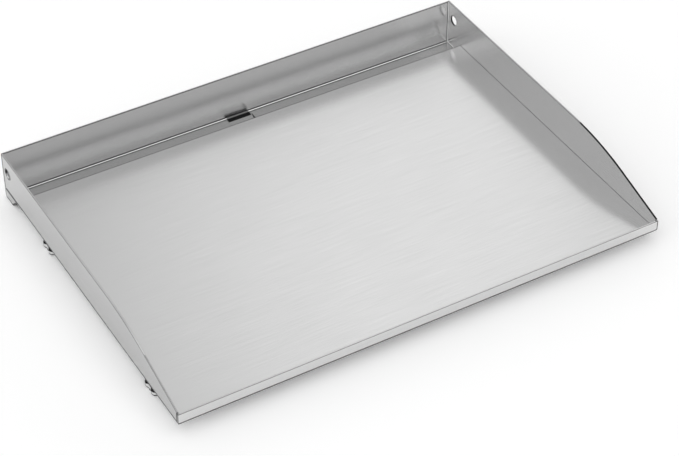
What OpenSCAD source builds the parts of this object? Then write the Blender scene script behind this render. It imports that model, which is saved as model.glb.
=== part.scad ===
// Camp griddle plate: a welded stainless tray with an upturned front lip, sloping
// side walls, a tall back wall, a grease trough and four levelling feet.
// Millimetres, +Z up, front towards -Y, origin under the middle on the resting plane.

/* [Tray] */
// Width over the side walls
tray_w = 610; // [450:5:800]
// Depth from the front lip to the back of the back wall
tray_d = 444; // [340:2:600]
// Thickness of the sheet
sheet_t = 2; // [1.5:0.1:3]
// Height of the front lip over the plate's underside
lip_h = 14.5; // [8:0.5:16]

/* [Walls] */
// Height of the back and side walls over the plate's underside
wall_h = 51; // [44:1:80]
// Height of the side walls where they meet the front lip
wall_front_h = 16; // [10:0.5:20]
// Slope of the side walls' front stretch, in degrees
wall_slope = 16.5; // [11:0.5:25]
// Radius where the slope meets the level top edge
wall_round = 350; // [100:10:400]

/* [Side holes] */
// Diameter of the hole in each side wall
side_hole_d = 12.5; // [8:0.5:16]
// From the back of the tray to the hole's centre
side_hole_back = 15; // [12:0.5:24]
// From the plate's underside to the hole's centre
side_hole_up = 29.5; // [16:0.5:36]

/* [Grease trough] */
// Depth of the trough below the plate's underside
trough_depth = 12.5; // [11:0.5:20]
// Width of the trough's flat bottom, with the back fold
trough_bottom_w = 21; // [18:0.5:40]
// Outside radius of the fold between the floor and the back wall
trough_fold_r = 3.5; // [3.2:0.1:6]
// How far the plate laps over the trough's front edge
plate_lap = 2; // [1:0.5:2.5]
// Length of the drain slot
drain_l = 30; // [15:1:60]
// Width of the drain slot
drain_w = 5.5; // [4.5:0.5:8]
// Gap between the drain slot and the back wall
drain_gap = 2; // [1.6:0.1:4]
// Length of the shallow dish in front of the drain
dish_l = 33; // [20:1:80]
// Depth of the dish
dish_depth = 0.5; // [0.2:0.1:0.8]

/* [Stiffeners] */
// Width of each channel under the plate
stiffener_w = 18; // [12:1:30]
// Height of each channel
stiffener_h = 8; // [5:0.5:9]
// Thickness of the channels' sheet
stiffener_t = 1.5; // [1:0.1:2.5]
// From each end of a channel to the side of the tray
stiffener_inset = 40; // [25:1:80]

/* [Levelling feet] */
// From the side of the tray to each foot's axis
foot_side = 5.5; // [5:0.1:20]
// From the front of the tray to the front feet
foot_front = 72; // [40:1:120]
// From the front of the tray to the rear feet
foot_rear = 331; // [220:1:380]
// Thread diameter of the studs
stud_d = 4; // [3:0.5:4]
// Diameter of the studs' welded flange
stud_flange_d = 6.5; // [5.5:0.5:8]
// Thickness of that flange
stud_flange_t = 0.8; // [0.5:0.1:1.5]
// Distance between the two lobes of a wing foot
wing_pitch = 14.5; // [12:0.5:20]
// Radius of each lobe
wing_lobe_r = 4.8; // [4:0.1:6]
// Width of the waist between the lobes
wing_waist_w = 6.6; // [5.6:0.1:8]
// Gap between the plate and the top of a wing foot
wing_gap = 4; // [3:0.25:5]
// Diameter of the glide pads
pad_d = 8; // [6:0.5:10]
// Thickness of the glide pads
pad_t = 0.9; // [0.6:0.1:1.5]
// Diameter of the pads' stems
pad_stem_d = 3; // [2:0.5:4]
// Length of the pads' stems
pad_stem_l = 1.6; // [1:0.1:2]

/* [Clearances] */
// Radial clearance of the studs and stems in the wing feet
thread_clear = 0.05; // [0.02:0.01:0.1]
// Gap between a pad and its wing foot
pad_gap = 0.1; // [0.05:0.05:0.3]
// Metal left between a wing foot's two bores
wing_web = 0.8; // [0.5:0.1:1.5]

/* [Hidden] */
$fn = 64;
overcut = 1;
plate_z = trough_depth;
half_w = tray_w / 2;
inner_half_w = half_w - sheet_t;
edge_r = 0.75 * sheet_t;
arc_lift = 0.02;
front_y = -tray_d / 2;
back_y = tray_d / 2;
slope_run = trough_depth;
slope_foot_y = back_y - trough_bottom_w;
slope_top_y = slope_foot_y - slope_run;
slope_wide = sheet_t * sqrt(2);
plate_rear_y = slope_top_y + plate_lap;
drain_y = back_y - sheet_t - drain_gap - drain_w / 2;
dish_front_y = slope_foot_y + sheet_t;
wing_bottom_z = pad_t + pad_gap;
wing_top_z = plate_z - wing_gap;
stem_bore_top_z = pad_t + pad_stem_l + pad_gap;
stud_bore_z = stem_bore_top_z + wing_web;
stud_end_z = stud_bore_z + pad_gap;
steel = "#c4c6c8";
bright_steel = "#d6d8da";

// Extrudes a side view drawn in Y and Z along X, between two X values
module along_x(from_x, to_x) {
    translate([from_x, 0, 0])
        rotate([90, 0, 90])
            linear_extrude(to_x - from_x)
                children();
}

// Rounds one corner of a side view: cuts the corner's square down to a quarter circle
module corner_cut(centre, radius, toward) {
    difference() {
        translate([
            min(centre.x, centre.x + toward.x * (radius + overcut)),
            min(centre.y, centre.y + toward.y * (radius + overcut))
        ])
            square(radius + overcut);
        translate(centre)
            circle(radius);
    }
}

// Side view of the plate and the lip that is folded up from it
module plate_outline() {
    difference() {
        polygon([
            [front_y, plate_z],
            [plate_rear_y, plate_z],
            [plate_rear_y, plate_z + sheet_t],
            [front_y + sheet_t, plate_z + sheet_t],
            [front_y + sheet_t, plate_z + lip_h],
            [front_y, plate_z + lip_h]
        ]);
        corner_cut([front_y + sheet_t, plate_z + sheet_t], sheet_t, [-1, -1]);
    }
}

// Rounds the lower outer edge of one side of the tray: side is -1 on the left and 1 on the right
module lower_edge_cut(side) {
    translate([0, back_y + overcut, 0])
        rotate([90, 0, 0])
            linear_extrude(tray_d + 2 * overcut)
                corner_cut([side * (half_w - edge_r), plate_z + edge_r], edge_r, [side, -1]);
}

// Flat plate between the side walls, with the front lip over the full width
module cooking_plate() {
    color(steel)
        difference() {
            along_x(-half_w, half_w)
                plate_outline();
            for (from_x = [-half_w - overcut, inner_half_w])
                translate([from_x, front_y + sheet_t, plate_z - overcut])
                    cube([sheet_t + overcut, tray_d, lip_h + 2 * overcut]);
            for (side = [-1, 1])
                lower_edge_cut(side);
        }
}

// Side view of a side wall: level at the back, then an arc into the front slope. The arc is lifted
// a little, so that it crosses both straight edges cleanly instead of just touching them.
module side_wall_outline() {
    wall_front_y = front_y + sheet_t;
    corner_y = wall_front_y + (wall_h - wall_front_h) / tan(wall_slope);
    tangent_l = wall_round * tan(wall_slope / 2);
    slope_tangent = [corner_y - tangent_l * cos(wall_slope), wall_h - tangent_l * sin(wall_slope)];
    translate([0, plate_z])
        difference() {
            polygon([
                [wall_front_y, 0],
                [back_y, 0],
                [back_y, wall_h],
                [corner_y, wall_h],
                [wall_front_y, wall_front_h]
            ]);
            difference() {
                polygon([slope_tangent, [corner_y, wall_h + overcut], [corner_y + tangent_l, wall_h]]);
                translate([corner_y + tangent_l, wall_h - wall_round + arc_lift])
                    circle(wall_round, $fn = 360);
            }
        }
}

// Side wall standing beside the plate, with its round hole near the back
module side_wall(side) {
    from_x = side < 0 ? -half_w : inner_half_w;
    color(steel)
        difference() {
            along_x(from_x, from_x + sheet_t)
                side_wall_outline();
            lower_edge_cut(side);
            translate([from_x - overcut, back_y - side_hole_back, plate_z + side_hole_up])
                rotate([0, 90, 0])
                    cylinder(d = side_hole_d, h = sheet_t + 2 * overcut);
        }
}

module left_side_wall() {
    side_wall(-1);
}

module right_side_wall() {
    side_wall(1);
}

// Back wall between the side walls, standing on the trough's back fold
module back_wall() {
    color(steel)
        translate([-inner_half_w, back_y - sheet_t, trough_fold_r])
            cube([2 * inner_half_w, sheet_t, plate_z + wall_h - trough_fold_r]);
}

// Side view of the trough: front slope, flat floor and rounded back fold
module trough_outline() {
    fold_centre = [back_y - trough_fold_r, trough_fold_r];
    difference() {
        polygon([
            [slope_top_y, plate_z],
            [slope_foot_y, 0],
            [back_y, 0],
            [back_y, trough_fold_r],
            [back_y - sheet_t, trough_fold_r],
            [back_y - sheet_t, sheet_t],
            [slope_foot_y + slope_wide - sheet_t, sheet_t],
            [slope_top_y + slope_wide, plate_z]
        ]);
        corner_cut(fold_centre, trough_fold_r, [1, -1]);
    }
    difference() {
        translate([fold_centre.x, sheet_t / 2])
            square([trough_fold_r - sheet_t / 2, trough_fold_r - sheet_t / 2]);
        translate(fold_centre)
            circle(trough_fold_r - sheet_t);
        corner_cut(fold_centre, trough_fold_r, [1, -1]);
    }
}

// Folded trough with the drain slot in a shallow dish at its middle
module grease_trough() {
    color(steel)
        difference() {
            along_x(-inner_half_w, inner_half_w)
                trough_outline();
            translate([-drain_l / 2, drain_y - drain_w / 2, -overcut])
                cube([drain_l, drain_w, sheet_t + 2 * overcut]);
            translate([-dish_l / 2, dish_front_y, sheet_t - dish_depth])
                cube([dish_l, drain_y - dish_front_y, dish_depth + overcut]);
        }
}

// Flat plate that closes one end of the trough, under the side wall
module trough_end(from_x) {
    color(steel)
        along_x(from_x, from_x + sheet_t)
            difference() {
                polygon([
                    [slope_top_y, plate_z],
                    [slope_foot_y, 0],
                    [back_y, 0],
                    [back_y, plate_z]
                ]);
                corner_cut([back_y - trough_fold_r, trough_fold_r], trough_fold_r, [1, -1]);
            }
}

module left_trough_end() {
    trough_end(-half_w);
}

module right_trough_end() {
    trough_end(inner_half_w);
}

// Channel welded by its two edges to the plate's underside, between two feet
module stiffener(from_front) {
    length = tray_w - 2 * stiffener_inset;
    color(steel)
        translate([-length / 2, front_y + from_front - stiffener_w / 2, plate_z - stiffener_h])
            difference() {
                cube([length, stiffener_w, stiffener_h]);
                translate([-overcut, stiffener_t, stiffener_t])
                    cube([length + 2 * overcut, stiffener_w - 2 * stiffener_t, stiffener_h]);
            }
}

module front_stiffener() {
    stiffener(foot_front);
}

module rear_stiffener() {
    stiffener(foot_rear);
}

// Moves a foot's piece to its axis: side is -1 on the left and 1 on the right
module at_foot(side, from_front) {
    translate([side * (half_w - foot_side), front_y + from_front, 0])
        children();
}

// Threaded stud welded to the plate's underside by its flange
module stud() {
    color(bright_steel) {
        translate([0, 0, stud_end_z])
            cylinder(d = stud_d, h = plate_z - stud_end_z);
        translate([0, 0, plate_z - stud_flange_t])
            cylinder(d = stud_flange_d, h = stud_flange_t);
    }
}

// Two-lobed thumb nut that screws on a stud and stands on its glide pad
module wing_foot() {
    height = wing_top_z - wing_bottom_z;
    color(bright_steel)
        translate([0, 0, wing_bottom_z])
            difference() {
                union() {
                    for (end = [-1, 1])
                        translate([0, end * wing_pitch / 2, 0])
                            cylinder(r = wing_lobe_r, h = height);
                    translate([-wing_waist_w / 2, -wing_pitch / 2, 0])
                        cube([wing_waist_w, wing_pitch, height]);
                }
                translate([0, 0, stud_bore_z - wing_bottom_z])
                    cylinder(r = stud_d / 2 + thread_clear, h = height);
                translate([0, 0, -overcut])
                    cylinder(r = pad_stem_d / 2 + thread_clear, h = stem_bore_top_z - wing_bottom_z + overcut);
            }
}

// Round pad under a wing foot, with the stem that it swivels on
module glide_pad() {
    color(bright_steel) {
        cylinder(d = pad_d, h = pad_t);
        cylinder(d = pad_stem_d, h = pad_t + pad_stem_l);
    }
}

module front_left_stud() {
    at_foot(-1, foot_front) stud();
}

module front_right_stud() {
    at_foot(1, foot_front) stud();
}

module rear_left_stud() {
    at_foot(-1, foot_rear) stud();
}

module rear_right_stud() {
    at_foot(1, foot_rear) stud();
}

module front_left_wing_foot() {
    at_foot(-1, foot_front) wing_foot();
}

module front_right_wing_foot() {
    at_foot(1, foot_front) wing_foot();
}

module rear_left_wing_foot() {
    at_foot(-1, foot_rear) wing_foot();
}

module rear_right_wing_foot() {
    at_foot(1, foot_rear) wing_foot();
}

module front_left_glide_pad() {
    at_foot(-1, foot_front) glide_pad();
}

module front_right_glide_pad() {
    at_foot(1, foot_front) glide_pad();
}

module rear_left_glide_pad() {
    at_foot(-1, foot_rear) glide_pad();
}

module rear_right_glide_pad() {
    at_foot(1, foot_rear) glide_pad();
}

cooking_plate();
left_side_wall();
right_side_wall();
back_wall();
grease_trough();
left_trough_end();
right_trough_end();
front_stiffener();
rear_stiffener();
front_left_stud();
front_right_stud();
rear_left_stud();
rear_right_stud();
front_left_wing_foot();
front_right_wing_foot();
rear_left_wing_foot();
rear_right_wing_foot();
front_left_glide_pad();
front_right_glide_pad();
rear_left_glide_pad();
rear_right_glide_pad();
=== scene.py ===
import math

import bmesh
import bpy
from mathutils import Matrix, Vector


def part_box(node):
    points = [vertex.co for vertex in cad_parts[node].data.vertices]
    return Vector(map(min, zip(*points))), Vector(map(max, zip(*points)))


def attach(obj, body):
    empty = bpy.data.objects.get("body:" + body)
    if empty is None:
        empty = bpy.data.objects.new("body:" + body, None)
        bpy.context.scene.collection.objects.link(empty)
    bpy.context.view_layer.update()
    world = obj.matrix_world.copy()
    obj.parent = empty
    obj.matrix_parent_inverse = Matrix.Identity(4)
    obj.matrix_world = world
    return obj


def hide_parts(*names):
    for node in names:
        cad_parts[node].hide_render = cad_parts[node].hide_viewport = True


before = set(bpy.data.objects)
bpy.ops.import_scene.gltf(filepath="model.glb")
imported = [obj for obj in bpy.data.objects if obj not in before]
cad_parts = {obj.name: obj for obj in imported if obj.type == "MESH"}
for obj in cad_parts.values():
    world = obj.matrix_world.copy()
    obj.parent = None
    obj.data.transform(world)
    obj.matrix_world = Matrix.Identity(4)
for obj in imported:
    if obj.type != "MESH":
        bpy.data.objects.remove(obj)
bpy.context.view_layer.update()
mm = 0.001
scene = bpy.context.scene
scene.view_settings.view_transform = "Standard"
print("frame loaded:", len(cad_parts), "nodes")


def linearColour(hexCode):
    values = [int(hexCode[i:i + 2], 16) / 255 for i in (1, 3, 5)]
    linear = [v / 12.92 if v <= 0.04045 else ((v + 0.055) / 1.055) ** 2.4 for v in values]
    return (*linear, 1.0)


# Adds one node: settings are its properties, and an input is a value or another node's socket
def addNode(tree, kind, inputs=None, **settings):
    node = tree.nodes.new(kind)
    for name, value in settings.items():
        setattr(node, name, value)
    for key, value in (inputs or {}).items():
        if isinstance(value, bpy.types.NodeSocket):
            tree.links.new(value, node.inputs[key])
        else:
            node.inputs[key].default_value = value
    return node


def emptyMaterial(name):
    material = bpy.data.materials.new(name)
    material.use_nodes = True
    material.node_tree.nodes.clear()
    return material


# Camera, at the photograph's angle
cameraSpec = {
    "location": (-0.945, -1.650, 1.620),  # metres
    "target": (-0.0151, -0.0538, 0.03),
    "lens": 114.74,  # mm
    "sensor": 36.0,
}


def addCamera(spec):
    data = bpy.data.cameras.new("photoCamera")
    data.lens = spec["lens"]
    data.sensor_width = spec["sensor"]
    camera = bpy.data.objects.new("photoCamera", data)
    camera.location = spec["location"]
    look = Vector(spec["target"]) - Vector(spec["location"])
    camera.rotation_mode = "QUATERNION"
    camera.rotation_quaternion = look.to_track_quat("-Z", "Y")
    scene.collection.objects.link(camera)
    scene.camera = camera


addCamera(cameraSpec)


# Studio light: a pale sky with wide soft patches, in degrees, azimuth measured from +Y towards +X
lightSpec = {
    "sky": [(-1.0, 0.75), (0.0, 1.12), (0.25, 1.0), (0.5, 0.10), (0.75, 0.0), (1.0, 0.83)],  # (up, level)
    "patches": [
        {"azimuth": 30, "elevation": 50, "reach": 32, "level": 0.19},
        {"azimuth": 33, "elevation": 43, "reach": 11, "level": 0.80},
        {"azimuth": 50, "elevation": 45, "reach": 20, "level": 0.23},
        {"azimuth": 60, "elevation": 69, "reach": 18, "level": 0.50},
        {"azimuth": 45, "elevation": 12, "reach": 45, "level": 0.57},
        {"azimuth": 45, "elevation": 16, "reach": 24, "level": 0.60},
        {"azimuth": 10, "elevation": 14, "reach": 24, "level": 0.26},
        {"azimuth": 5, "elevation": 45, "reach": 25, "level": 0.10},
        {"azimuth": 0, "elevation": 75, "reach": 20, "level": 0.13},
        {"azimuth": -10, "elevation": 22, "reach": 20, "level": 0.66},
        {"azimuth": -20, "elevation": 68, "reach": 22, "level": 0.74},
        {"azimuth": -45, "elevation": 15, "reach": 85, "level": 0.62},
        {"azimuth": -75, "elevation": 45, "reach": 35, "level": 0.50},
        {"azimuth": -90, "elevation": 14, "reach": 35, "level": 0.54},
        {"azimuth": -100, "elevation": 50, "reach": 25, "level": 0.75},
        {"azimuth": -150, "elevation": 41, "reach": 35, "level": 1.53},
        {"azimuth": -150, "elevation": 41, "reach": 18, "level": 0.15},
        {"azimuth": 180, "elevation": 60, "reach": 35, "level": 0.19},
        {"azimuth": 150, "elevation": 41, "reach": 25, "level": 0.80},
        {"azimuth": 110, "elevation": 55, "reach": 28, "level": 1.30},
    ],
}


def addSky(spec):
    world = bpy.data.worlds.new("studioSky")
    scene.world = world
    world.use_nodes = True
    tree = world.node_tree
    tree.nodes.clear()
    direction = addNode(tree, "ShaderNodeTexCoord").outputs["Generated"]
    up = addNode(tree, "ShaderNodeSeparateXYZ", {0: direction}).outputs["Z"]
    place = addNode(tree, "ShaderNodeMapRange", {"Value": up, "From Min": -1.0, "From Max": 1.0})
    ramp = addNode(tree, "ShaderNodeValToRGB", {"Fac": place.outputs["Result"]})
    stops = ramp.color_ramp.elements
    while len(stops) < len(spec["sky"]):
        stops.new(0.5)
    for stop, (height, level) in zip(stops, spec["sky"]):
        stop.position = (height + 1) / 2
        stop.color = (level, level, level, 1)
    total = ramp.outputs["Color"]
    for patch in spec["patches"]:
        azimuth, elevation = math.radians(patch["azimuth"]), math.radians(patch["elevation"])
        out = math.cos(elevation)
        toward = (math.sin(azimuth) * out, math.cos(azimuth) * out, math.sin(elevation))
        near = addNode(tree, "ShaderNodeVectorMath", {0: direction, 1: toward}, operation="DOT_PRODUCT")
        glow = addNode(tree, "ShaderNodeMapRange", {
            "Value": near.outputs["Value"],
            "From Min": math.cos(math.radians(patch["reach"])), "From Max": 1.0,
            "To Min": 0.0, "To Max": patch["level"],
        }, interpolation_type="SMOOTHSTEP")
        added = addNode(tree, "ShaderNodeMath", {0: total, 1: glow.outputs["Result"]}, operation="ADD")
        total = added.outputs[0]
    background = addNode(tree, "ShaderNodeBackground", {"Strength": total})
    addNode(tree, "ShaderNodeOutputWorld", {"Surface": background.outputs[0]})


addSky(lightSpec)


floorSpec = {"halfSize": 15.0, "colour": "#fafafa", "lift": 0.07}  # halfSize in metres


# Matt white paper sweep, lifted to white for the camera and for reflections, clear from below
def addFloor(spec):
    material = emptyMaterial("whitePaperFloor")
    tree = material.node_tree
    paper = addNode(tree, "ShaderNodeBsdfDiffuse", {"Color": linearColour(spec["colour"])})
    lift = addNode(tree, "ShaderNodeEmission", {"Strength": spec["lift"]})
    lifted = addNode(tree, "ShaderNodeAddShader", {0: paper.outputs[0], 1: lift.outputs[0]})
    ray = addNode(tree, "ShaderNodeLightPath")
    direct = addNode(tree, "ShaderNodeMath", {
        0: ray.outputs["Is Camera Ray"], 1: ray.outputs["Is Glossy Ray"]}, operation="MAXIMUM")
    seen = addNode(tree, "ShaderNodeMath", {
        0: direct.outputs[0], 1: ray.outputs["Is Transmission Ray"]}, operation="MAXIMUM")
    top = addNode(tree, "ShaderNodeMixShader", {
        0: seen.outputs[0], 1: paper.outputs[0], 2: lifted.outputs[0]})
    below = addNode(tree, "ShaderNodeBsdfTransparent")
    side = addNode(tree, "ShaderNodeNewGeometry")
    both = addNode(tree, "ShaderNodeMixShader", {
        0: side.outputs["Backfacing"], 1: top.outputs[0], 2: below.outputs[0]})
    addNode(tree, "ShaderNodeOutputMaterial", {"Surface": both.outputs[0]})
    half = spec["halfSize"]
    corners = [(-half, -half, 0), (half, -half, 0), (half, half, 0), (-half, half, 0)]
    mesh = bpy.data.meshes.new("studioFloor")
    mesh.from_pydata(corners, [], [(0, 1, 2, 3)])
    mesh.materials.append(material)
    floor = bpy.data.objects.new("studioFloor", mesh)
    scene.collection.objects.link(floor)


addFloor(floorSpec)
print("stage ready")


# Materials

sheetFinish = {
    "light": "#dfdfdf",
    "dark": "#d3d3d3",
    "roughness": (0.20, 0.27),
    "grainWidth": 0.8,  # mm, real brush marks are 0.05 to 0.2 mm and are drawn coarser so that they show
    "grainLength": 70,  # mm
    "grainDepth": 0.002,  # mm
    "bump": 0.3,  # strength of the grain's relief
    "cloudSize": 90,  # mm, slow change of gloss over the sheet
    "cloudShare": 0.35,  # of it, beside the grain
    "glossFrom": (0.35, 1.0),  # range of grain and cloud together
    "stretch": 0.55,  # how much longer highlights are across the grain
}
# A darker copy of the sheet's finish: painted shade
millShadeFinish = dict(sheetFinish, light="#c4c4c4", dark="#b4b4b4")
# A brighter copy of the sheet's finish: painted highlight
brightCopyFinish = dict(sheetFinish, light="#f8f8f8", dark="#eeeeee")


# 304 stainless sheet, belt-brushed along one axis: a soft mirror with fine streaks, blurred across the grain
def brushedStainless(name, grainAxis, finish):
    material = emptyMaterial(name)
    tree = material.node_tree
    place = addNode(tree, "ShaderNodeTexCoord").outputs["Object"]
    stretch = [1 / (finish["grainWidth"] * mm)] * 3
    stretch[grainAxis] = 1 / (finish["grainLength"] * mm)
    streaks = addNode(tree, "ShaderNodeMapping", {"Vector": place, "Scale": stretch})
    grain = addNode(tree, "ShaderNodeTexNoise", {
        "Vector": streaks.outputs[0], "Scale": 1.0, "Detail": 4.0, "Roughness": 0.6})
    cloud = addNode(tree, "ShaderNodeTexNoise", {
        "Vector": place, "Scale": 1 / (finish["cloudSize"] * mm), "Detail": 2.0})
    blend = addNode(tree, "ShaderNodeMath", {
        0: cloud.outputs["Fac"], 1: finish["cloudShare"], 2: grain.outputs["Fac"]}, operation="MULTIPLY_ADD")
    gloss = addNode(tree, "ShaderNodeMapRange", {
        "Value": blend.outputs[0], "From Min": finish["glossFrom"][0], "From Max": finish["glossFrom"][1],
        "To Min": finish["roughness"][0], "To Max": finish["roughness"][1]})
    tone = addNode(tree, "ShaderNodeMix", {
        "Factor": grain.outputs["Fac"],
        "A": linearColour(finish["light"]), "B": linearColour(finish["dark"])}, data_type="RGBA")
    bump = addNode(tree, "ShaderNodeBump", {
        "Height": grain.outputs["Fac"], "Strength": finish["bump"], "Distance": finish["grainDepth"] * mm})
    across = addNode(tree, "ShaderNodeTangent", direction_type="UV_MAP", uv_map="grain")
    shader = addNode(tree, "ShaderNodeBsdfPrincipled", {
        "Base Color": tone.outputs["Result"], "Metallic": 1.0, "Roughness": gloss.outputs["Result"],
        "Anisotropic": finish["stretch"], "Tangent": across.outputs[0], "Normal": bump.outputs[0]})
    addNode(tree, "ShaderNodeOutputMaterial", {"Surface": shader.outputs[0]})
    return material


# Laser-cut stainless: the cut face is duller than the sheet
cutFinish = {"light": "#c4c4c4", "dark": "#a9a9a9", "roughness": (0.26, 0.38), "marks": (0.6, 0.6, 0.6)}
# Deburred corners of the same, with painted shade: dark grey lines with no clear highlight
burrAndShadeFinish = {"light": "#4a4a4b", "dark": "#343435", "roughness": (0.34, 0.50), "marks": (0.4, 0.4, 0.4)}
# Painted shade beside a cut or a weld: a grey strip, a little duller than the sheet
edgeShadeFinish = {"light": "#7c7c7c", "dark": "#6c6c6c", "roughness": (0.26, 0.36), "marks": (0.8, 0.8, 0.8)}
# Painted shade, matt and nearly black: the right wall's long curved cut and the lip's bend and ends
nearBlackShadeFinish = {"light": "#161617", "dark": "#0b0b0c", "roughness": (0.40, 0.55), "marks": (0.5, 0.5, 0.5)}
# Turned and polished stainless: a bright, nearly clear mirror with faint rings from the tool
polishFinish = {"light": "#ececec", "dark": "#dadada", "roughness": (0.06, 0.14), "marks": (5.0, 5.0, 0.5)}
# Blackened, knurled steel: near black, with a dull sheen on the ridges; its black also paints the shade on
# the feet's sides
knurlAndShadeFinish = {"light": "#1a1a1b", "dark": "#0d0d0e", "roughness": (0.30, 0.45), "marks": (0.35, 0.35, 0.35)}
# Stainless weld metal as laid: grey, with a straw-coloured heat tint in places
weldFinish = {"light": "#b9ad98", "dark": "#8f9092", "roughness": (0.28, 0.42), "marks": (6.0, 6.0, 6.0)}


# Bare steel whose tone and gloss follow one fine noise: marks are its sizes in mm along X, Y and Z
def markedSteel(name, finish):
    material = emptyMaterial(name)
    tree = material.node_tree
    place = addNode(tree, "ShaderNodeTexCoord").outputs["Object"]
    scaled = addNode(tree, "ShaderNodeMapping", {
        "Vector": place, "Scale": [1 / (size * mm) for size in finish["marks"]]})
    marks = addNode(tree, "ShaderNodeTexNoise", {"Vector": scaled.outputs[0], "Scale": 1.0, "Detail": 3.0})
    tone = addNode(tree, "ShaderNodeMix", {
        "Factor": marks.outputs["Fac"],
        "A": linearColour(finish["light"]), "B": linearColour(finish["dark"])}, data_type="RGBA")
    gloss = addNode(tree, "ShaderNodeMapRange", {
        "Value": marks.outputs["Fac"], "To Min": finish["roughness"][0], "To Max": finish["roughness"][1]})
    shader = addNode(tree, "ShaderNodeBsdfPrincipled", {
        "Base Color": tone.outputs["Result"], "Metallic": 1.0, "Roughness": gloss.outputs["Result"]})
    addNode(tree, "ShaderNodeOutputMaterial", {"Surface": shader.outputs[0]})
    return material


acrossBrushed = brushedStainless("brushedStainlessAcross", 0, sheetFinish)  # grain along X
alongBrushed = brushedStainless("brushedStainlessAlong", 1, sheetFinish)  # grain along Y
millToneAndShade = brushedStainless("millFinishStainlessPaintedShade", 1, millShadeFinish)  # darker copy, painted shade: trough floor and outer faces
brushedHighlight = brushedStainless("brushedStainlessPaintedHighlight", 0, brightCopyFinish)  # brighter copy, painted highlight: the trough's slope and its fold's bright line
cutFace = markedSteel("laserCutStainlessFace", cutFinish)
cornerAndShade = markedSteel("deburredCornerPaintedShade", burrAndShadeFinish)
edgeShade = markedSteel("paintedEdgeShadeStainless", edgeShadeFinish)
nearBlackShade = markedSteel("nearBlackPaintedShade", nearBlackShadeFinish)
polished = markedSteel("polishedStainless", polishFinish)
knurlAndShade = markedSteel("knurledSteelPaintedShade", knurlAndShadeFinish)
weld = markedSteel("stainlessWeldMetal", weldFinish)
print("materials ready")


def addPiece(name, mesh, materials, body, nodeName=None):
    piece = bpy.data.objects.new(name, mesh)
    for material in materials:
        mesh.materials.append(material)
    scene.collection.objects.link(piece)
    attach(piece, body)
    if nodeName:
        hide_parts(nodeName)


def plainMesh(name, bm):
    mesh = bpy.data.meshes.new(name)
    bm.to_mesh(mesh)
    bm.free()
    return mesh


# Turns an object with modifiers into its finished plain mesh
def finishedMesh(obj):
    evaluated = obj.evaluated_get(bpy.context.evaluated_depsgraph_get())
    mesh = bpy.data.meshes.new_from_object(evaluated)
    mesh.name = obj.name
    bpy.data.objects.remove(obj)
    return mesh


# Starts a geometry node tree: inputs gives the kind of each named size, beside the geometry and its material
def startTree(name, inputs):
    tree = bpy.data.node_groups.new(name, "GeometryNodeTree")
    for socket, kind in {"Geometry": "Geometry", **inputs, "Material": "Material"}.items():
        tree.interface.new_socket(socket, in_out="INPUT", socket_type="NodeSocket" + kind)
    tree.interface.new_socket("Geometry", in_out="OUTPUT", socket_type="NodeSocketGeometry")
    return tree, addNode(tree, "NodeGroupInput").outputs


# Ends it: real meshes, with the given material
def endTree(tree, geometry, given):
    real = addNode(tree, "GeometryNodeRealizeInstances", {"Geometry": geometry})
    dressed = addNode(tree, "GeometryNodeSetMaterial", {
        "Geometry": real.outputs[0], "Material": given["Material"]})
    addNode(tree, "NodeGroupOutput", {"Geometry": dressed.outputs[0]})


# Adds a node tree to an object, with its inputs set by name through the sockets' identifiers
def addTree(obj, tree, values):
    modifier = obj.modifiers.new(tree.name, "NODES")
    modifier.node_group = tree
    for socket in tree.interface.items_tree:
        if socket.in_out == "INPUT" and socket.name in values:
            modifier[socket.identifier] = values[socket.name]


# Folded and cut sheets

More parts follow.
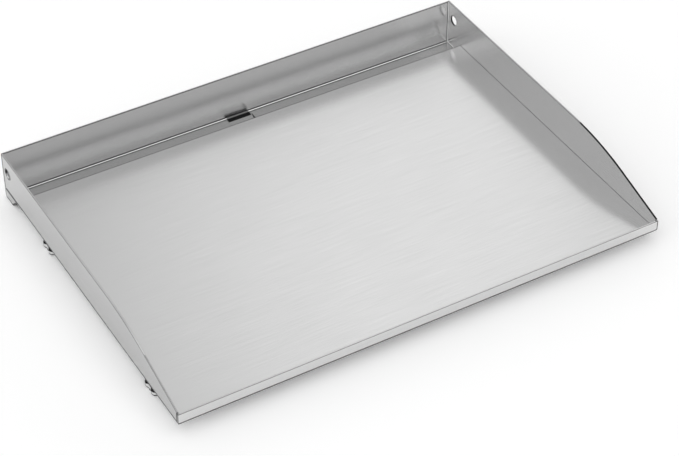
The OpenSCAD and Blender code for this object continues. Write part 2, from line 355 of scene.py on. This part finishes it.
sheetSpec = {
    "edgeBreak": 0.35,  # mm, deburred corners
    "edgeSteps": 3,
    "bendSteps": 4,
    "flatWidth": 0.7,  # mm, wider faces keep flat shading
    "sharpAngle": 35,  # degrees
    "mergeReach": 0.005,  # mm, points nearer than this are one
    "shortEdge": 0.002,  # mm, shorter edges that the rounding leaves are removed
    "flatAngle": 0.3,  # degrees, triangles that meet flatter than this are one face
    "cutCosine": 0.999,  # a face turned further from the sheet's own is a cut
    "gaugeSlack": 0.02,  # mm, and so is one as wide as the sheet is thick, within this
    "upCosine": 0.3,  # a face looks up above this
    "straightCosine": 0.99,  # straight up or straight out above this
    "frontCosine": -0.05,  # and forward below this
    "endGrain": 0.3,  # a face whose normal is this near to the grain ends it
    "splitReach": 0.001,  # mm, points nearer than this to a split lie on it
    "shadeBand": 0.9,  # mm, strip of painted shade along cut edges that do not face up
    "outerBand": 2.0,  # mm, the same on the outer faces, darker painted shade
    "shadeFrom": 8.0,  # mm, narrower faces get no strip
    "outerX": 304.2,  # mm, strips outside this are on the outer faces
    "holeY": 207.0,  # mm, centre of the side holes
    "holeZ": 42.0,
    "holeReach": 8.0,
    "drainX": 15.0,  # mm, half the length of the drain slot
    "drainY": (212.3, 218.2),  # mm, its front and rear
    "drainSlack": 0.5,
    "cornerY": 218.2,  # mm, the side walls get painted shade outside behind this, by the corner welds
    "seamX": 303.0,  # mm, where the plate's ends and the trough's ends are welded to the side walls
    "seamZ": 12.5,
    "seamSlack": 0.05,
    "seamRise": 2.0,  # mm above seamZ that shows no strip either
    "seamBreak": 0.3,  # mm, the hairline that the plate's seams leave
    "lipEnds": (-304.6, 303.7),  # mm, the lip gets painted shade outside these
    "lipLowZ": 15.0,  # mm, and below this
    "rimY": 189.5,  # mm, the plate's rear rim gets painted shade behind this
    "floorBelow": 3.0,  # mm, the trough's floor lies below this
    "foldAbove": 1.8,  # mm, and its rear fold rises from this
    "foldDark": 0.55,  # the fold gets painted shade where it looks up less than this
    "foldShadeAbove": 0.85,  # and the darker mill tone, painted shade, where it looks up more than this
    "sheets": {
        "cooking_plate": {"material": acrossBrushed, "grain": 0, "thickness": 2.0, "insideBend": 1.2},
        "left_side_wall": {"material": alongBrushed, "grain": 1, "plane": 0},
        "right_side_wall": {"material": alongBrushed, "grain": 1, "plane": 0},
        "back_wall": {"material": acrossBrushed, "grain": 0, "plane": 1, "topShade": True},
        "grease_trough": {"material": brushedHighlight, "grain": 0, "thickness": 2.0},
        "left_trough_end": {"material": alongBrushed, "grain": 1, "plane": 0},
        "right_trough_end": {"material": alongBrushed, "grain": 1, "plane": 0},
        "front_stiffener": {"material": acrossBrushed, "grain": 0, "thickness": 1.5},
        "rear_stiffener": {"material": acrossBrushed, "grain": 0, "thickness": 1.5},
    },
}
# Material slots of a dressed sheet
onSheet, onCut, onEdgeShade, onBlackShade, onCornerShade, onMillShade = range(6)


def faceExtents(face):
    corners = [vert.co for vert in face.verts]
    return [max(c[axis] for c in corners) - min(c[axis] for c in corners) for axis in range(3)]


# Lays a UV map whose U runs across the grain of each face, or upright where the face ends the grain
def mapGrain(mesh, grainAxis, endGrain):
    grain = Vector((grainAxis == 0, grainAxis == 1, 0))
    layer = mesh.uv_layers.new(name="grain")
    for face in mesh.polygons:
        across = face.normal.cross(grain)
        if across.length < endGrain:
            across = Vector((0, 0, 1))
        across.normalize()
        along = across.cross(face.normal)
        for loop in face.loop_indices:
            point = mesh.vertices[mesh.loops[loop].vertex_index].co
            layer.data[loop].uv = (point.dot(across), point.dot(along))


# Keeps wide faces flat, and blends the narrow strips of bends and corners into them
def setNormals(mesh, flatWidth, nearCosine):
    around = [[] for _ in mesh.vertices]
    flat = []
    few = 8  # corners that are enough to measure a face's length from
    for face in mesh.polygons:
        corners = [mesh.vertices[i].co for i in face.vertices]
        longest = max((b - a).length for a in corners[:few] for b in corners)
        flat.append(face.area / longest > flatWidth)
        for i in face.vertices:
            around[i].append(face)
    normals = []
    for face in mesh.polygons:
        for i in face.vertices:
            near = [other for other in around[i] if other.normal.dot(face.normal) > nearCosine]
            wide = [other for other in near if flat[other.index]]
            blend = Vector()
            for other in wide or near:
                blend += other.area * other.normal
            normals.append(face.normal if flat[face.index] else blend.normalized())
    mesh.shade_smooth()
    mesh.set_sharp_from_angle(angle=math.acos(nearCosine))
    mesh.normals_split_custom_set(normals)


# Planes where a sheet's finish changes: an axis and a place in mm
def finishPlanes(name, spec):
    leftEnd, rightEnd = spec["lipEnds"]
    if name == "cooking_plate":
        return [(0, leftEnd), (0, rightEnd), (2, spec["lipLowZ"]), (1, spec["rimY"])]
    if name == "grease_trough":
        return [(0, -spec["drainX"]), (0, spec["drainX"])]
    return [(1, spec["cornerY"])] if "side_wall" in name else []


def splitFaces(bm, axis, place, reach):
    normal = Vector((axis == 0, axis == 1, axis == 2))
    bmesh.ops.bisect_plane(bm, geom=bm.verts[:] + bm.edges[:] + bm.faces[:], dist=reach * mm,
                           plane_co=normal * place * mm, plane_no=normal)


# Tells cut faces from the sheet's own faces: a flat sheet's cuts stand across its plane
def isCut(face, sheet, spec):
    if "plane" in sheet:
        return abs(face.normal[sheet["plane"]]) < spec["cutCosine"]
    gauge, slack = sheet["thickness"] * mm, spec["gaugeSlack"] * mm
    return any(abs(extent - gauge) < slack for extent in faceExtents(face))


# Dark grey, painted shade: the bores of the side holes and the drain slot
def isBore(name, face, spec):
    place = face.calc_center_median() / mm
    if name == "grease_trough":
        front, rear = spec["drainY"]
        return abs(place.x) < spec["drainX"] + spec["drainSlack"] and front < place.y < rear
    inHole = math.hypot(place.y - spec["holeY"], place.z - spec["holeZ"]) < spec["holeReach"]
    return "side_wall" in name and inHole


# Near black, painted shade: the right wall's long curved cut
def isShadedSlopeCut(name, face, spec):
    sloped = face.normal.z > spec["upCosine"] and face.normal.y < spec["frontCosine"]
    return name == "right_side_wall" and sloped


# Painted shade: the outside of the lip's bend and a strip at each end of the lip
def isBend(face, spec):
    place = face.calc_center_median() / mm
    leftEnd, rightEnd = spec["lipEnds"]
    onEdge = place.z < spec["lipLowZ"] or not leftEnd < place.x < rightEnd
    return face.normal.y < spec["frontCosine"] and onEdge


# Painted shade: the plate's upward faces behind the rim line
def isRim(name, face, spec):
    return name == "cooking_plate" and face.calc_center_median().y > spec["rimY"] * mm


# Welded flush: the plate's ends, and the side walls' inner edges over the trough's ends
def isSeam(name, edge, spec):
    slack = spec["seamSlack"] * mm
    onSide = all(abs(abs(vert.co.x) - spec["seamX"] * mm) < slack for vert in edge.verts)
    onLevel = all(abs(vert.co.z - spec["seamZ"] * mm) < slack for vert in edge.verts)
    return onSide and (onLevel or name == "cooking_plate")


# Gives each raw face its slot: the plate's and the left wall's upward faces stay bright, their cut faces too
# as a painted highlight, apart from the rim
def markFaces(bm, name, sheet, spec):
    for face in bm.faces:
        finish = onCut if isCut(face, sheet, spec) else onSheet
        if finish == onCut and isBore(name, face, spec):
            finish = onCornerShade
        if finish != onSheet and isShadedSlopeCut(name, face, spec):
            finish = onBlackShade
        if name == "cooking_plate" and isBend(face, spec):
            finish = onBlackShade
        if name in ("cooking_plate", "left_side_wall") and face.normal.z > spec["upCosine"]:
            finish = onCornerShade if isRim(name, face, spec) else onSheet
        face.material_index = finish


# Marks a strip of painted shade along each cut edge that is in no seam and, as a rule, does not face up
def shadeEdges(bm, sheet, spec):
    faces = [face for face in bm.faces
             if face.material_index == onSheet and sorted(faceExtents(face))[1] > spec["shadeFrom"] * mm]
    outer = [face for face in faces if abs(face.calc_center_median().x) > spec["outerX"] * mm]
    inner = [face for face in faces if face not in outer]
    strips = []
    for group, band in ((outer, "outerBand"), (inner, "shadeBand")):
        if group:
            inset = bmesh.ops.inset_region(bm, faces=group, thickness=spec[band] * mm, use_even_offset=True)
            strips += inset["faces"]
    marked = []
    for strip in strips:
        beside = [face for edge in strip.edges for face in edge.link_faces]
        cuts = [face for face in beside if face.material_index in (onCut, onBlackShade, onCornerShade)]
        place = strip.calc_center_median() / mm
        onSide = abs(abs(place.x) - spec["seamX"]) < 2 * spec["seamSlack"]
        inSeam = onSide and place.z < spec["seamZ"] + spec["seamRise"]
        if cuts and not inSeam:
            lowCut = cuts[0].normal.z < spec["upCosine"]
            if lowCut or cuts[0].material_index == onBlackShade or "topShade" in sheet:
                marked.append((strip, onEdgeShade if abs(place.x) < spec["outerX"] else onCornerShade))
    for strip, finish in marked:
        strip.material_index = finish


def roundEdges(bm, edges, radius, steps, finish):
    bmesh.ops.bevel(bm, geom=edges, offset=radius * mm, segments=steps, profile=0.5,
                    affect="EDGES", clamp_overlap=False, material=finish)


# Rounds the inside of a bend, breaks the open edges in painted shade and leaves a hairline along the plate's
# seams
def breakEdges(bm, name, sheet, spec):
    sharp = math.radians(spec["sharpAngle"])
    if "insideBend" in sheet:
        inside = [edge for edge in bm.edges if edge.calc_face_angle_signed(0) < -sharp]
        roundEdges(bm, inside, sheet["insideBend"], spec["bendSteps"], onSheet)
    outside = [edge for edge in bm.edges if edge.calc_face_angle_signed(0) > sharp]
    loose = [edge for edge in outside if not isSeam(name, edge, spec)]
    roundEdges(bm, loose, spec["edgeBreak"], spec["edgeSteps"], onCornerShade)
    if name == "cooking_plate":
        outside = [edge for edge in bm.edges if edge.calc_face_angle_signed(0) > sharp]
        hairline = [edge for edge in outside if isSeam(name, edge, spec)]
        roundEdges(bm, hairline, spec["seamBreak"], 1, onCornerShade)
    for _ in range(spec["edgeSteps"]):  # the corners beside the near-black painted shade get it too
        besideBlackShade = [face for face in bm.faces if face.material_index == onCornerShade
                 and any(other.material_index == onBlackShade for edge in face.edges for other in edge.link_faces)]
        for face in besideBlackShade:
            face.material_index = onBlackShade


# Last slots: painted shade outside by the corner welds, a darker tone as painted shade on the outer faces and
# trough floor, and on the trough's rear fold painted shade, dark above and dimmer below its bright line, and
# over the drain slot
def trimFaces(mesh, name, sheet, spec):
    for face in mesh.polygons:
        if face.material_index != onSheet:
            continue
        place, normal = face.center / mm, face.normal
        level, front = normal.z > spec["straightCosine"], normal.y < spec["frontCosine"]
        inTrough = name == "grease_trough" and level and place.z < spec["floorBelow"]
        inFold = name == "grease_trough" and front and place.z > spec["foldAbove"]
        outward = sheet.get("plane") == 0 and normal.x * place.x > spec["straightCosine"] * abs(place.x)
        overSlot = abs(place.x) < spec["drainX"]
        if outward and "side_wall" in name and place.y > spec["cornerY"]:
            face.material_index = onEdgeShade
        elif inFold and (overSlot or normal.z < spec["foldDark"]):
            face.material_index = onEdgeShade if overSlot else onCornerShade
        elif inTrough or outward or (inFold and normal.z > spec["foldShadeAbove"]):
            face.material_index = onMillShade


def dressSheet(name, sheet, spec):
    bm = bmesh.new()
    bm.from_mesh(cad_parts[name].data)
    merge = spec["mergeReach"] * mm
    bmesh.ops.remove_doubles(bm, verts=bm.verts, dist=merge)
    bmesh.ops.dissolve_degenerate(bm, dist=merge, edges=bm.edges)
    bmesh.ops.dissolve_limit(bm, angle_limit=math.radians(spec["flatAngle"]), verts=bm.verts, edges=bm.edges)
    for axis, place in finishPlanes(name, spec):
        splitFaces(bm, axis, place, spec["splitReach"])
    markFaces(bm, name, sheet, spec)
    if "plane" in sheet:
        shadeEdges(bm, sheet, spec)
    breakEdges(bm, name, sheet, spec)
    bmesh.ops.dissolve_degenerate(bm, dist=spec["shortEdge"] * mm, edges=bm.edges)
    mesh = plainMesh(name, bm)
    setNormals(mesh, spec["flatWidth"] * mm, math.cos(math.radians(spec["sharpAngle"])))
    mapGrain(mesh, sheet["grain"], spec["endGrain"])
    trimFaces(mesh, name, sheet, spec)
    addPiece(name + "_sheet", mesh, [sheet["material"], cutFace, edgeShade, nearBlackShade, cornerAndShade, millToneAndShade],
             "tray", name)


for sheetName, sheetPart in sheetSpec["sheets"].items():
    dressSheet(sheetName, sheetPart, sheetSpec)
print("sheets dressed:", len(sheetSpec["sheets"]))


# Corner welds: raised beads in the upright corners and along the trough's floor, hollow coves on its slope

coveSpec = {
    "corner": 1.3,  # mm radius in the upright rear corners
    "cornerTop": 0.4,  # mm below the back wall's top, where they end
    "trough": 1.0,  # mm radius at the trough's ends
    "gauge": 2.0,  # mm, the trough's sheet
    "footShift": 0.83,  # mm, how far a 45 degree fold moves that sheet's inner corner
    "topShift": 2.83,  # mm, width of that sheet cut level across its slope
    "backGap": 1.5,  # mm before the back wall, where the welds on the trough's floor end
    "steps": 6,
    "sharpAngle": 35,  # degrees
}
# Material slots of the corner welds
onLitHalf, onShadedHalf, onCove = range(3)


# One straight weld along a corner: sideA and sideB point away from it along its two walls
def cornerRun(bm, start, end, sideA, sideB, radius, steps, hollow):
    turns = [math.pi / 2 * i / steps for i in range(steps + 1)]
    rings = []
    for base in (start, end):
        if hollow:
            curve = [base + radius * ((1 - math.cos(t)) * sideA + (1 - math.sin(t)) * sideB) for t in turns]
        else:
            curve = [base + radius * (math.cos(t) * sideA + math.sin(t) * sideB) for t in turns]
        rings.append([bm.verts.new(point) for point in [base] + curve])
    count = steps + 2
    for i in range(count):
        j = (i + 1) % count
        face = bm.faces.new((rings[0][i], rings[0][j], rings[1][j], rings[1][i]))
        # Painted shade on the half of each bead towards sideA, painted highlight on the half towards sideB
        bead = onShadedHalf if i <= steps // 2 else onLitHalf
        face.material_index = onCove if hollow else bead
    for ring in rings:
        bm.faces.new(ring)


def innerCoves(spec):
    bm = bmesh.new()
    wallLow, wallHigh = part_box("back_wall")
    troughLow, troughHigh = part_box("grease_trough")
    floorZ = troughLow.z + spec["gauge"] * mm
    drop = troughHigh.z - troughLow.z
    slopeFoot = Vector((0, troughLow.y + drop + spec["footShift"] * mm, floorZ))
    slopeTop = Vector((0, troughLow.y + spec["topShift"] * mm, troughHigh.z))
    back = Vector((0, wallLow.y - spec["backGap"] * mm, floorZ))
    cornerFoot = Vector((0, wallLow.y, floorZ))
    cornerTop = Vector((0, wallLow.y, wallHigh.z - spec["cornerTop"] * mm))
    up, forward, offSlope = Vector((0, 0, 1)), Vector((0, -1, 0)), Vector((0, 1, 1)).normalized()
    corner, trough, steps = spec["corner"] * mm, spec["trough"] * mm, spec["steps"]
    for side in (-1, 1):
        end = Vector((side * wallHigh.x, 0, 0))
        inward = Vector((-side, 0, 0))
        cornerRun(bm, end + cornerFoot, end + cornerTop, inward, forward, corner, steps, hollow=False)
        cornerRun(bm, end + slopeFoot, end + back, inward, up, trough, steps, hollow=False)
        cornerRun(bm, end + slopeFoot, end + slopeTop, inward, offSlope, trough, steps, hollow=True)
    bmesh.ops.recalc_face_normals(bm, faces=bm.faces)
    mesh = plainMesh("inner_coves", bm)
    mesh.shade_smooth()
    mesh.set_sharp_from_angle(angle=math.radians(spec["sharpAngle"]))
    addPiece("inner_coves", mesh, [polished, edgeShade, cutFace], "tray")


innerCoves(coveSpec)
print("coves ready")


# Drain slot: thin upright dark bars that fill the slot with painted shade

slotShadeSpec = {
    "length": 29.0,  # mm
    "front": 213.0,  # mm, centre of the first long bar
    "spacing": 1.5,  # mm
    "bars": 4,
    "crossBars": 3,
    "thick": 0.4,  # mm
    "low": 0.1,
    "high": 1.7,
    "crossDrop": 0.3,  # mm, the cross bars stand lower
}


# Geometry nodes: sets a row of equal bars beside the bars that are already there
def barTree():
    tree, given = startTree("slotShadeBarRows", {
        "Count": "Int", "Start": "Vector", "Step": "Vector", "Size": "Vector"})
    places = addNode(tree, "GeometryNodeMeshLine", {
        "Count": given["Count"], "Start Location": given["Start"], "Offset": given["Step"]}, mode="OFFSET")
    bar = addNode(tree, "GeometryNodeMeshCube", {"Size": given["Size"]})
    row = addNode(tree, "GeometryNodeInstanceOnPoints", {
        "Points": places.outputs[0], "Instance": bar.outputs["Mesh"]})
    both = addNode(tree, "GeometryNodeJoinGeometry", {"Geometry": given["Geometry"]})
    tree.links.new(row.outputs[0], both.inputs["Geometry"])
    endTree(tree, both.outputs[0], given)
    return tree


def addSlotShadeBars(spec):
    draft = bpy.data.objects.new("drain_slot_shade", bpy.data.meshes.new("slotShadeBarRows"))
    scene.collection.objects.link(draft)
    length, thick, front, low = spec["length"], spec["thick"], spec["front"], spec["low"]
    depth = spec["spacing"] * (spec["bars"] - 1)
    tall = spec["high"] - low
    crossTall = tall - spec["crossDrop"]
    crossStep = (length - thick) / (spec["crossBars"] - 1)
    rows = [
        {"count": spec["bars"], "start": (0, front, low + tall / 2), "step": (0, spec["spacing"], 0),
         "size": (length, thick, tall)},
        {"count": spec["crossBars"], "start": ((thick - length) / 2, front + depth / 2, low + crossTall / 2),
         "step": (crossStep, 0, 0), "size": (thick, depth, crossTall)},
    ]
    tree = barTree()
    for row in rows:
        addTree(draft, tree, {
            "Count": row["count"], "Start": Vector(row["start"]) * mm, "Step": Vector(row["step"]) * mm,
            "Size": Vector(row["size"]) * mm, "Material": cornerAndShade})
    mesh = finishedMesh(draft)
    mesh.shade_flat()
    addPiece("drain_slot_shade", mesh, [], "tray")


addSlotShadeBars(slotShadeSpec)
print("grille ready")


# Levelling feet

feet = ["front_left", "front_right", "rear_left", "rear_right"]
turnedSharp = 40  # degrees
arcMiddle = 0.3  # a rounded corner's middle lies this share of its radius from both faces


# Skins a stack of rings with equal counts, closed at both ends, with isDark's places in the second material
def ringStack(name, rings, isDark=None):
    bm = bmesh.new()
    rows = [[bm.verts.new(point) for point in ring] for ring in rings]
    count = len(rings[0])
    for row, (low, high) in enumerate(zip(rows, rows[1:])):
        for i in range(count):
            j = (i + 1) % count
            face = bm.faces.new((low[i], low[j], high[j], high[i]))
            face.material_index = int(bool(isDark and isDark(row, i)))
    for row in (rows[0], rows[-1]):
        bm.faces.new(row)
    bmesh.ops.recalc_face_normals(bm, faces=bm.faces)
    mesh = plainMesh(name, bm)
    mesh.shade_smooth()
    mesh.set_sharp_from_angle(angle=math.radians(turnedSharp))
    return mesh


def circleRing(centre, radius, z, steps):
    turns = [2 * math.pi * i / steps for i in range(steps)]
    return [(centre.x + radius * math.cos(t), centre.y + radius * math.sin(t), z) for t in turns]


wingSpec = {
    "waist": 6.6,  # mm
    "blend": 1.6,  # mm, fillet between the lobes and the waist
    "topRound": 2.0,  # mm, on the lobes
    "footRound": 0.7,
    "waistRound": 0.6,
    "lobeFrom": 0.35,  # share of the way to a lobe's centre where its rounding begins
    "lobeOver": 0.5,  # and over which it grows
    "flutes": 44,  # knurled ridges round the sides
    "fluteDepth": 0.28,  # mm
    "fluteEdge": 0.15,  # mm, plain band above and below the ridges
    "highlightTurn": 240,  # degrees, the way the painted highlight, a polished band on each lobe, looks, and its opposite
    "highlightReach": 62,  # degrees to each side
    "highlightRows": (0.16, 0.88),  # share of the height of the sides
    "highlightWaist": 0.3,  # the waist gets the painted highlight too, below this share of a lobe
    "studBore": 2.05,  # mm, radius
    "studBoreFrom": 3.4,  # mm above the floor
    "stemBore": 1.55,
    "stemBoreTo": 2.6,
    "steps": 176,
    "roundSteps": 5,
    "fineSteps": 720,  # of the outline, to space the steps evenly
    "halvings": 30,  # of the search for the outline
}


# How far a point lies outside the outline of two lobes blended into a waist
def wingField(x, y, lobe, pitch, spec):
    lobes = math.hypot(x, abs(y) - pitch / 2) - lobe
    waist = max(abs(x) - spec["waist"] * mm / 2, abs(y) - pitch / 2)
    blend = spec["blend"] * mm
    near = max(blend - abs(lobes - waist), 0) / blend
    return min(lobes, waist) - near * near * blend / 4


def wingRadius(turn, inset, lobe, pitch, spec):
    low, high = 0.0, pitch
    for _ in range(spec["halvings"]):
        middle = (low + high) / 2
        if wingField(middle * math.cos(turn), middle * math.sin(turn), lobe, pitch, spec) < -inset:
            low = middle
        else:
            high = middle
    return low


# Turns that stand at equal steps along the outline, so that the ridges are even
def evenTurns(lobe, pitch, spec):
    fine = [2 * math.pi * i / spec["fineSteps"] for i in range(spec["fineSteps"] + 1)]
    radii = [wingRadius(t, 0, lobe, pitch, spec) for t in fine]
    points = [Vector((r * math.cos(t), r * math.sin(t))) for r, t in zip(radii, fine)]
    lengths = [0.0]
    for first, second in zip(points, points[1:]):
        lengths.append(lengths[-1] + (second - first).length)
    turns, at = [], 0
    for i in range(spec["steps"]):
        want = lengths[-1] * i / spec["steps"]
        while lengths[at + 1] < want:
            at += 1
        share = (want - lengths[at]) / (lengths[at + 1] - lengths[at])
        turns.append(fine[at] + share * (fine[at + 1] - fine[at]))
    return turns


def wingFoot(name, spec):
    low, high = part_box(name)
    centre = (low + high) / 2
    lobe = (high.x - low.x) / 2
    pitch = high.y - low.y - 2 * lobe
    turns = evenTurns(lobe, pitch, spec)
    lobeShares, onHighlight = [], []
    highlightCosine = math.cos(math.radians(spec["highlightReach"]))
    for turn in turns:
        radius = wingRadius(turn, 0, lobe, pitch, spec)
        x, y = radius * math.cos(turn), radius * math.sin(turn)
        out = min(max((abs(y) * 2 / pitch - spec["lobeFrom"]) / spec["lobeOver"], 0), 1)
        lobeShares.append(out * out * (3 - 2 * out))
        outward = math.atan2(y - math.copysign(pitch / 2, y), x)
        facesHighlight = abs(math.cos(outward - math.radians(spec["highlightTurn"]))) > highlightCosine
        onHighlight.append(out < spec["highlightWaist"] or facesHighlight)
    sweeps = [math.pi / 2 * i / spec["roundSteps"] for i in range(spec["roundSteps"] + 1)]

    def ring(sweep, top, fluted=False):
        points = []
        for i, (turn, share) in enumerate(zip(turns, lobeShares)):
            lobeRound = spec["topRound"] if top else spec["footRound"]
            rounding = (spec["waistRound"] + share * (lobeRound - spec["waistRound"])) * mm
            wave = 0.5 + 0.5 * math.cos(2 * math.pi * spec["flutes"] * i / spec["steps"])
            groove = share * wave * spec["fluteDepth"] * mm if fluted and not onHighlight[i] else 0
            inset = rounding * (1 - math.sin(sweep)) + groove
            radius = wingRadius(turn, inset, lobe, pitch, spec)
            rise = rounding * (1 - math.cos(sweep)) + (spec["fluteEdge"] * mm if fluted else 0)
            z = high.z - rise if top else low.z + rise
            points.append((centre.x + radius * math.cos(turn), centre.y + radius * math.sin(turn), z))
        return points

    stem = [circleRing(centre, spec["stemBore"] * mm, z, spec["steps"])
            for z in (spec["stemBoreTo"] * mm, low.z)]
    bore = [circleRing(centre, spec["studBore"] * mm, z, spec["steps"])
            for z in (high.z, spec["studBoreFrom"] * mm)]
    foot = [ring(s, False) for s in sweeps]
    bottom, top = ring(sweeps[-1], False, True), ring(sweeps[-1], True, True)
    sides = [[Vector(a).lerp(Vector(b), share) for a, b in zip(bottom, top)]
             for share in (0, *spec["highlightRows"], 1)]
    head = [ring(s, True) for s in reversed(sweeps)]
    first, face = len(stem), len(stem) + len(foot) + 1
    last = len(stem) + len(foot) + len(sides) + len(head) - 2

    # Black knurled steel, partly painted shade, from the foot to the head, except the band of painted
    # highlight
    def isDark(row, place):
        return first <= row <= last and not (row == face and onHighlight[place])

    return ringStack(name + "_knurled", stem + foot + sides + head + bore, isDark)


padSpec = {
    "rimRound": 0.3,  # mm
    "thick": 0.9,
    "stem": 1.5,  # mm, radius
    "stemChamfer": 0.2,
    "steps": 48,
}


def glidePad(name, spec):
    low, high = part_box(name)
    centre = (low + high) / 2
    radius = (high.x - low.x) / 2
    rim = spec["rimRound"] * mm
    near = arcMiddle * rim
    padTop = low.z + spec["thick"] * mm
    stem, chamfer = spec["stem"] * mm, spec["stemChamfer"] * mm
    profile = [(radius - rim, low.z), (radius - near, low.z + near), (radius, low.z + rim),
               (radius, padTop - rim), (radius - near, padTop - near), (radius - rim, padTop),
               (stem, padTop), (stem, high.z - chamfer), (stem - chamfer, high.z)]
    return ringStack(name + "_turned", [circleRing(centre, r, z, spec["steps"]) for r, z in profile])


studSpec = {
    "crest": 2.0,  # mm, radius over the thread
    "threadDepth": 0.38,
    "pitch": 0.7,
    "tipChamfer": 0.5,
    "flange": 0.8,  # mm thick
    "flangeChamfer": 0.2,
    "fillet": 0.5,
    "steps": 32,
    "threadSteps": 20,  # points in one turn
    "ridgeSides": 4,
}


def studCore(name, spec):
    low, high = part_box(name)
    centre = (low + high) / 2
    core = (spec["crest"] - spec["threadDepth"]) * mm
    flangeR = (high.x - low.x) / 2
    flangeZ = high.z - spec["flange"] * mm
    fillet, tip, chamfer = spec["fillet"] * mm, spec["tipChamfer"] * mm, spec["flangeChamfer"] * mm
    near = arcMiddle * fillet
    profile = [(core - tip, low.z), (core, low.z + tip), (core, flangeZ - fillet),
               (core + near, flangeZ - near), (core + fillet, flangeZ),
               (flangeR - chamfer, flangeZ), (flangeR, flangeZ + chamfer), (flangeR, high.z)]
    return ringStack(name + "_core", [circleRing(centre, r, z, spec["steps"]) for r, z in profile])


# Geometry nodes: winds a thread ridge round a stud's core
def threadTree(spec):
    tree, given = startTree("studThread", {
        "Base": "Vector", "Radius": "Float", "Depth": "Float", "Length": "Float", "Pitch": "Float",
        "Steps": "Int"})
    turns = addNode(tree, "ShaderNodeMath", {0: given["Length"], 1: given["Pitch"]}, operation="DIVIDE")
    spiral = addNode(tree, "GeometryNodeCurveSpiral", {
        "Resolution": given["Steps"], "Rotations": turns.outputs[0], "Start Radius": given["Radius"],
        "End Radius": given["Radius"], "Height": given["Length"]})
    upright = addNode(tree, "GeometryNodeSetCurveNormal", {"Curve": spiral.outputs[0]}, mode="Z_UP")
    ridge = addNode(tree, "GeometryNodeCurvePrimitiveCircle", {
        "Resolution": spec["ridgeSides"], "Radius": given["Depth"]})
    thread = addNode(tree, "GeometryNodeCurveToMesh", {
        "Curve": upright.outputs[0], "Profile Curve": ridge.outputs[0], "Fill Caps": True})
    placed = addNode(tree, "GeometryNodeTransform", {
        "Geometry": thread.outputs[0], "Translation": given["Base"]})
    both = addNode(tree, "GeometryNodeJoinGeometry", {"Geometry": given["Geometry"]})
    tree.links.new(placed.outputs[0], both.inputs["Geometry"])
    endTree(tree, both.outputs[0], given)
    return tree


studThread = threadTree(studSpec)


def threadedStud(name, spec):
    low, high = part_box(name)
    draft = bpy.data.objects.new(name + "_threaded", studCore(name, spec))
    scene.collection.objects.link(draft)
    draft.data.materials.append(polished)
    base = ((low.x + high.x) / 2, (low.y + high.y) / 2, low.z + spec["pitch"] * mm / 2)
    addTree(draft, studThread, {
        "Base": base, "Radius": (spec["crest"] - spec["threadDepth"]) * mm, "Depth": spec["threadDepth"] * mm,
        "Length": high.z - low.z - (spec["flange"] + spec["pitch"]) * mm, "Pitch": spec["pitch"] * mm,
        "Steps": spec["threadSteps"], "Material": polished})
    return finishedMesh(draft)


for foot in feet:
    addPiece(foot + "_wing_knurled", wingFoot(foot + "_wing_foot", wingSpec), [polished, knurlAndShade],
             foot + "_wing", foot + "_wing_foot")
    addPiece(foot + "_pad_turned", glidePad(foot + "_glide_pad", padSpec), [polished],
             foot + "_pad", foot + "_glide_pad")
    addPiece(foot + "_stud_threaded", threadedStud(foot + "_stud", studSpec), [],
             "tray", foot + "_stud")
print("feet ready:", len(feet))


# Weld beads under the tray

weldSpec = {
    "radius": 1.4,  # mm
    "ripple": 1.1,  # mm between ripples
    "least": (0.75, 0.85, 0.85),  # size of a ripple along and across the bead, as a share of the radius
    "most": (0.85, 1.05, 1.05),
    "segments": 10,
    "rings": 6,
    "stitch": 24.0,  # mm long
    "stitches": 6,  # along each side of a stiffener
    "lapStitches": 9,  # along the trough's front edge
    "seed": 4,
}


# Geometry nodes: lays overlapping ripples along every edge of the input mesh
def beadTree(spec):
    tree, given = startTree("weldBead", {"Radius": "Float", "Ripple": "Float", "Seed": "Int"})
    runs = addNode(tree, "GeometryNodeMeshToCurve", {"Mesh": given["Geometry"]})
    marks = addNode(tree, "GeometryNodeResampleCurve", {
        "Curve": runs.outputs[0], "Length": given["Ripple"]}, mode="LENGTH")
    ball = addNode(tree, "GeometryNodeMeshUVSphere", {
        "Segments": spec["segments"], "Rings": spec["rings"], "Radius": given["Radius"]})
    smooth = addNode(tree, "GeometryNodeSetShadeSmooth", {"Geometry": ball.outputs["Mesh"]})
    vary = addNode(tree, "FunctionNodeRandomValue", {
        "Min": spec["least"], "Max": spec["most"], "Seed": given["Seed"]}, data_type="FLOAT_VECTOR")
    along = addNode(tree, "GeometryNodeInputTangent")
    turn = addNode(tree, "FunctionNodeAlignRotationToVector", {"Vector": along.outputs[0]}, axis="X")
    ripples = addNode(tree, "GeometryNodeInstanceOnPoints", {
        "Points": marks.outputs[0], "Instance": smooth.outputs[0],
        "Rotation": turn.outputs[0], "Scale": vary.outputs[0]})
    endTree(tree, ripples.outputs[0], given)
    return tree


# Evenly spaced stitches along X, as pairs of end points
def stitchRow(fromX, toX, y, z, count, length):
    gap = (toX - fromX - length) / (count - 1)
    starts = [fromX + gap * i for i in range(count)]
    return [((start, y, z), (start + length, y, z)) for start in starts]


def weldBeads(spec):
    stitch = spec["stitch"] * mm
    runs = []
    for name in ("front_stiffener", "rear_stiffener"):
        low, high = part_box(name)
        for y in (low.y, high.y):
            runs += stitchRow(low.x, high.x, y, high.z, spec["stitches"], stitch)
    low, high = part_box("grease_trough")
    runs += stitchRow(low.x + stitch, high.x - stitch, low.y, high.z, spec["lapStitches"], stitch)
    points = [point for run in runs for point in run]
    mesh = bpy.data.meshes.new("weldRuns")
    mesh.from_pydata(points, [(2 * i, 2 * i + 1) for i in range(len(runs))], [])
    draft = bpy.data.objects.new("weld_beads", mesh)
    scene.collection.objects.link(draft)
    addTree(draft, beadTree(spec), {
        "Radius": spec["radius"] * mm, "Ripple": spec["ripple"] * mm, "Seed": spec["seed"], "Material": weld})
    addPiece("weld_beads", finishedMesh(draft), [], "tray")
    return len(runs)


print("weld stitches:", weldBeads(weldSpec))
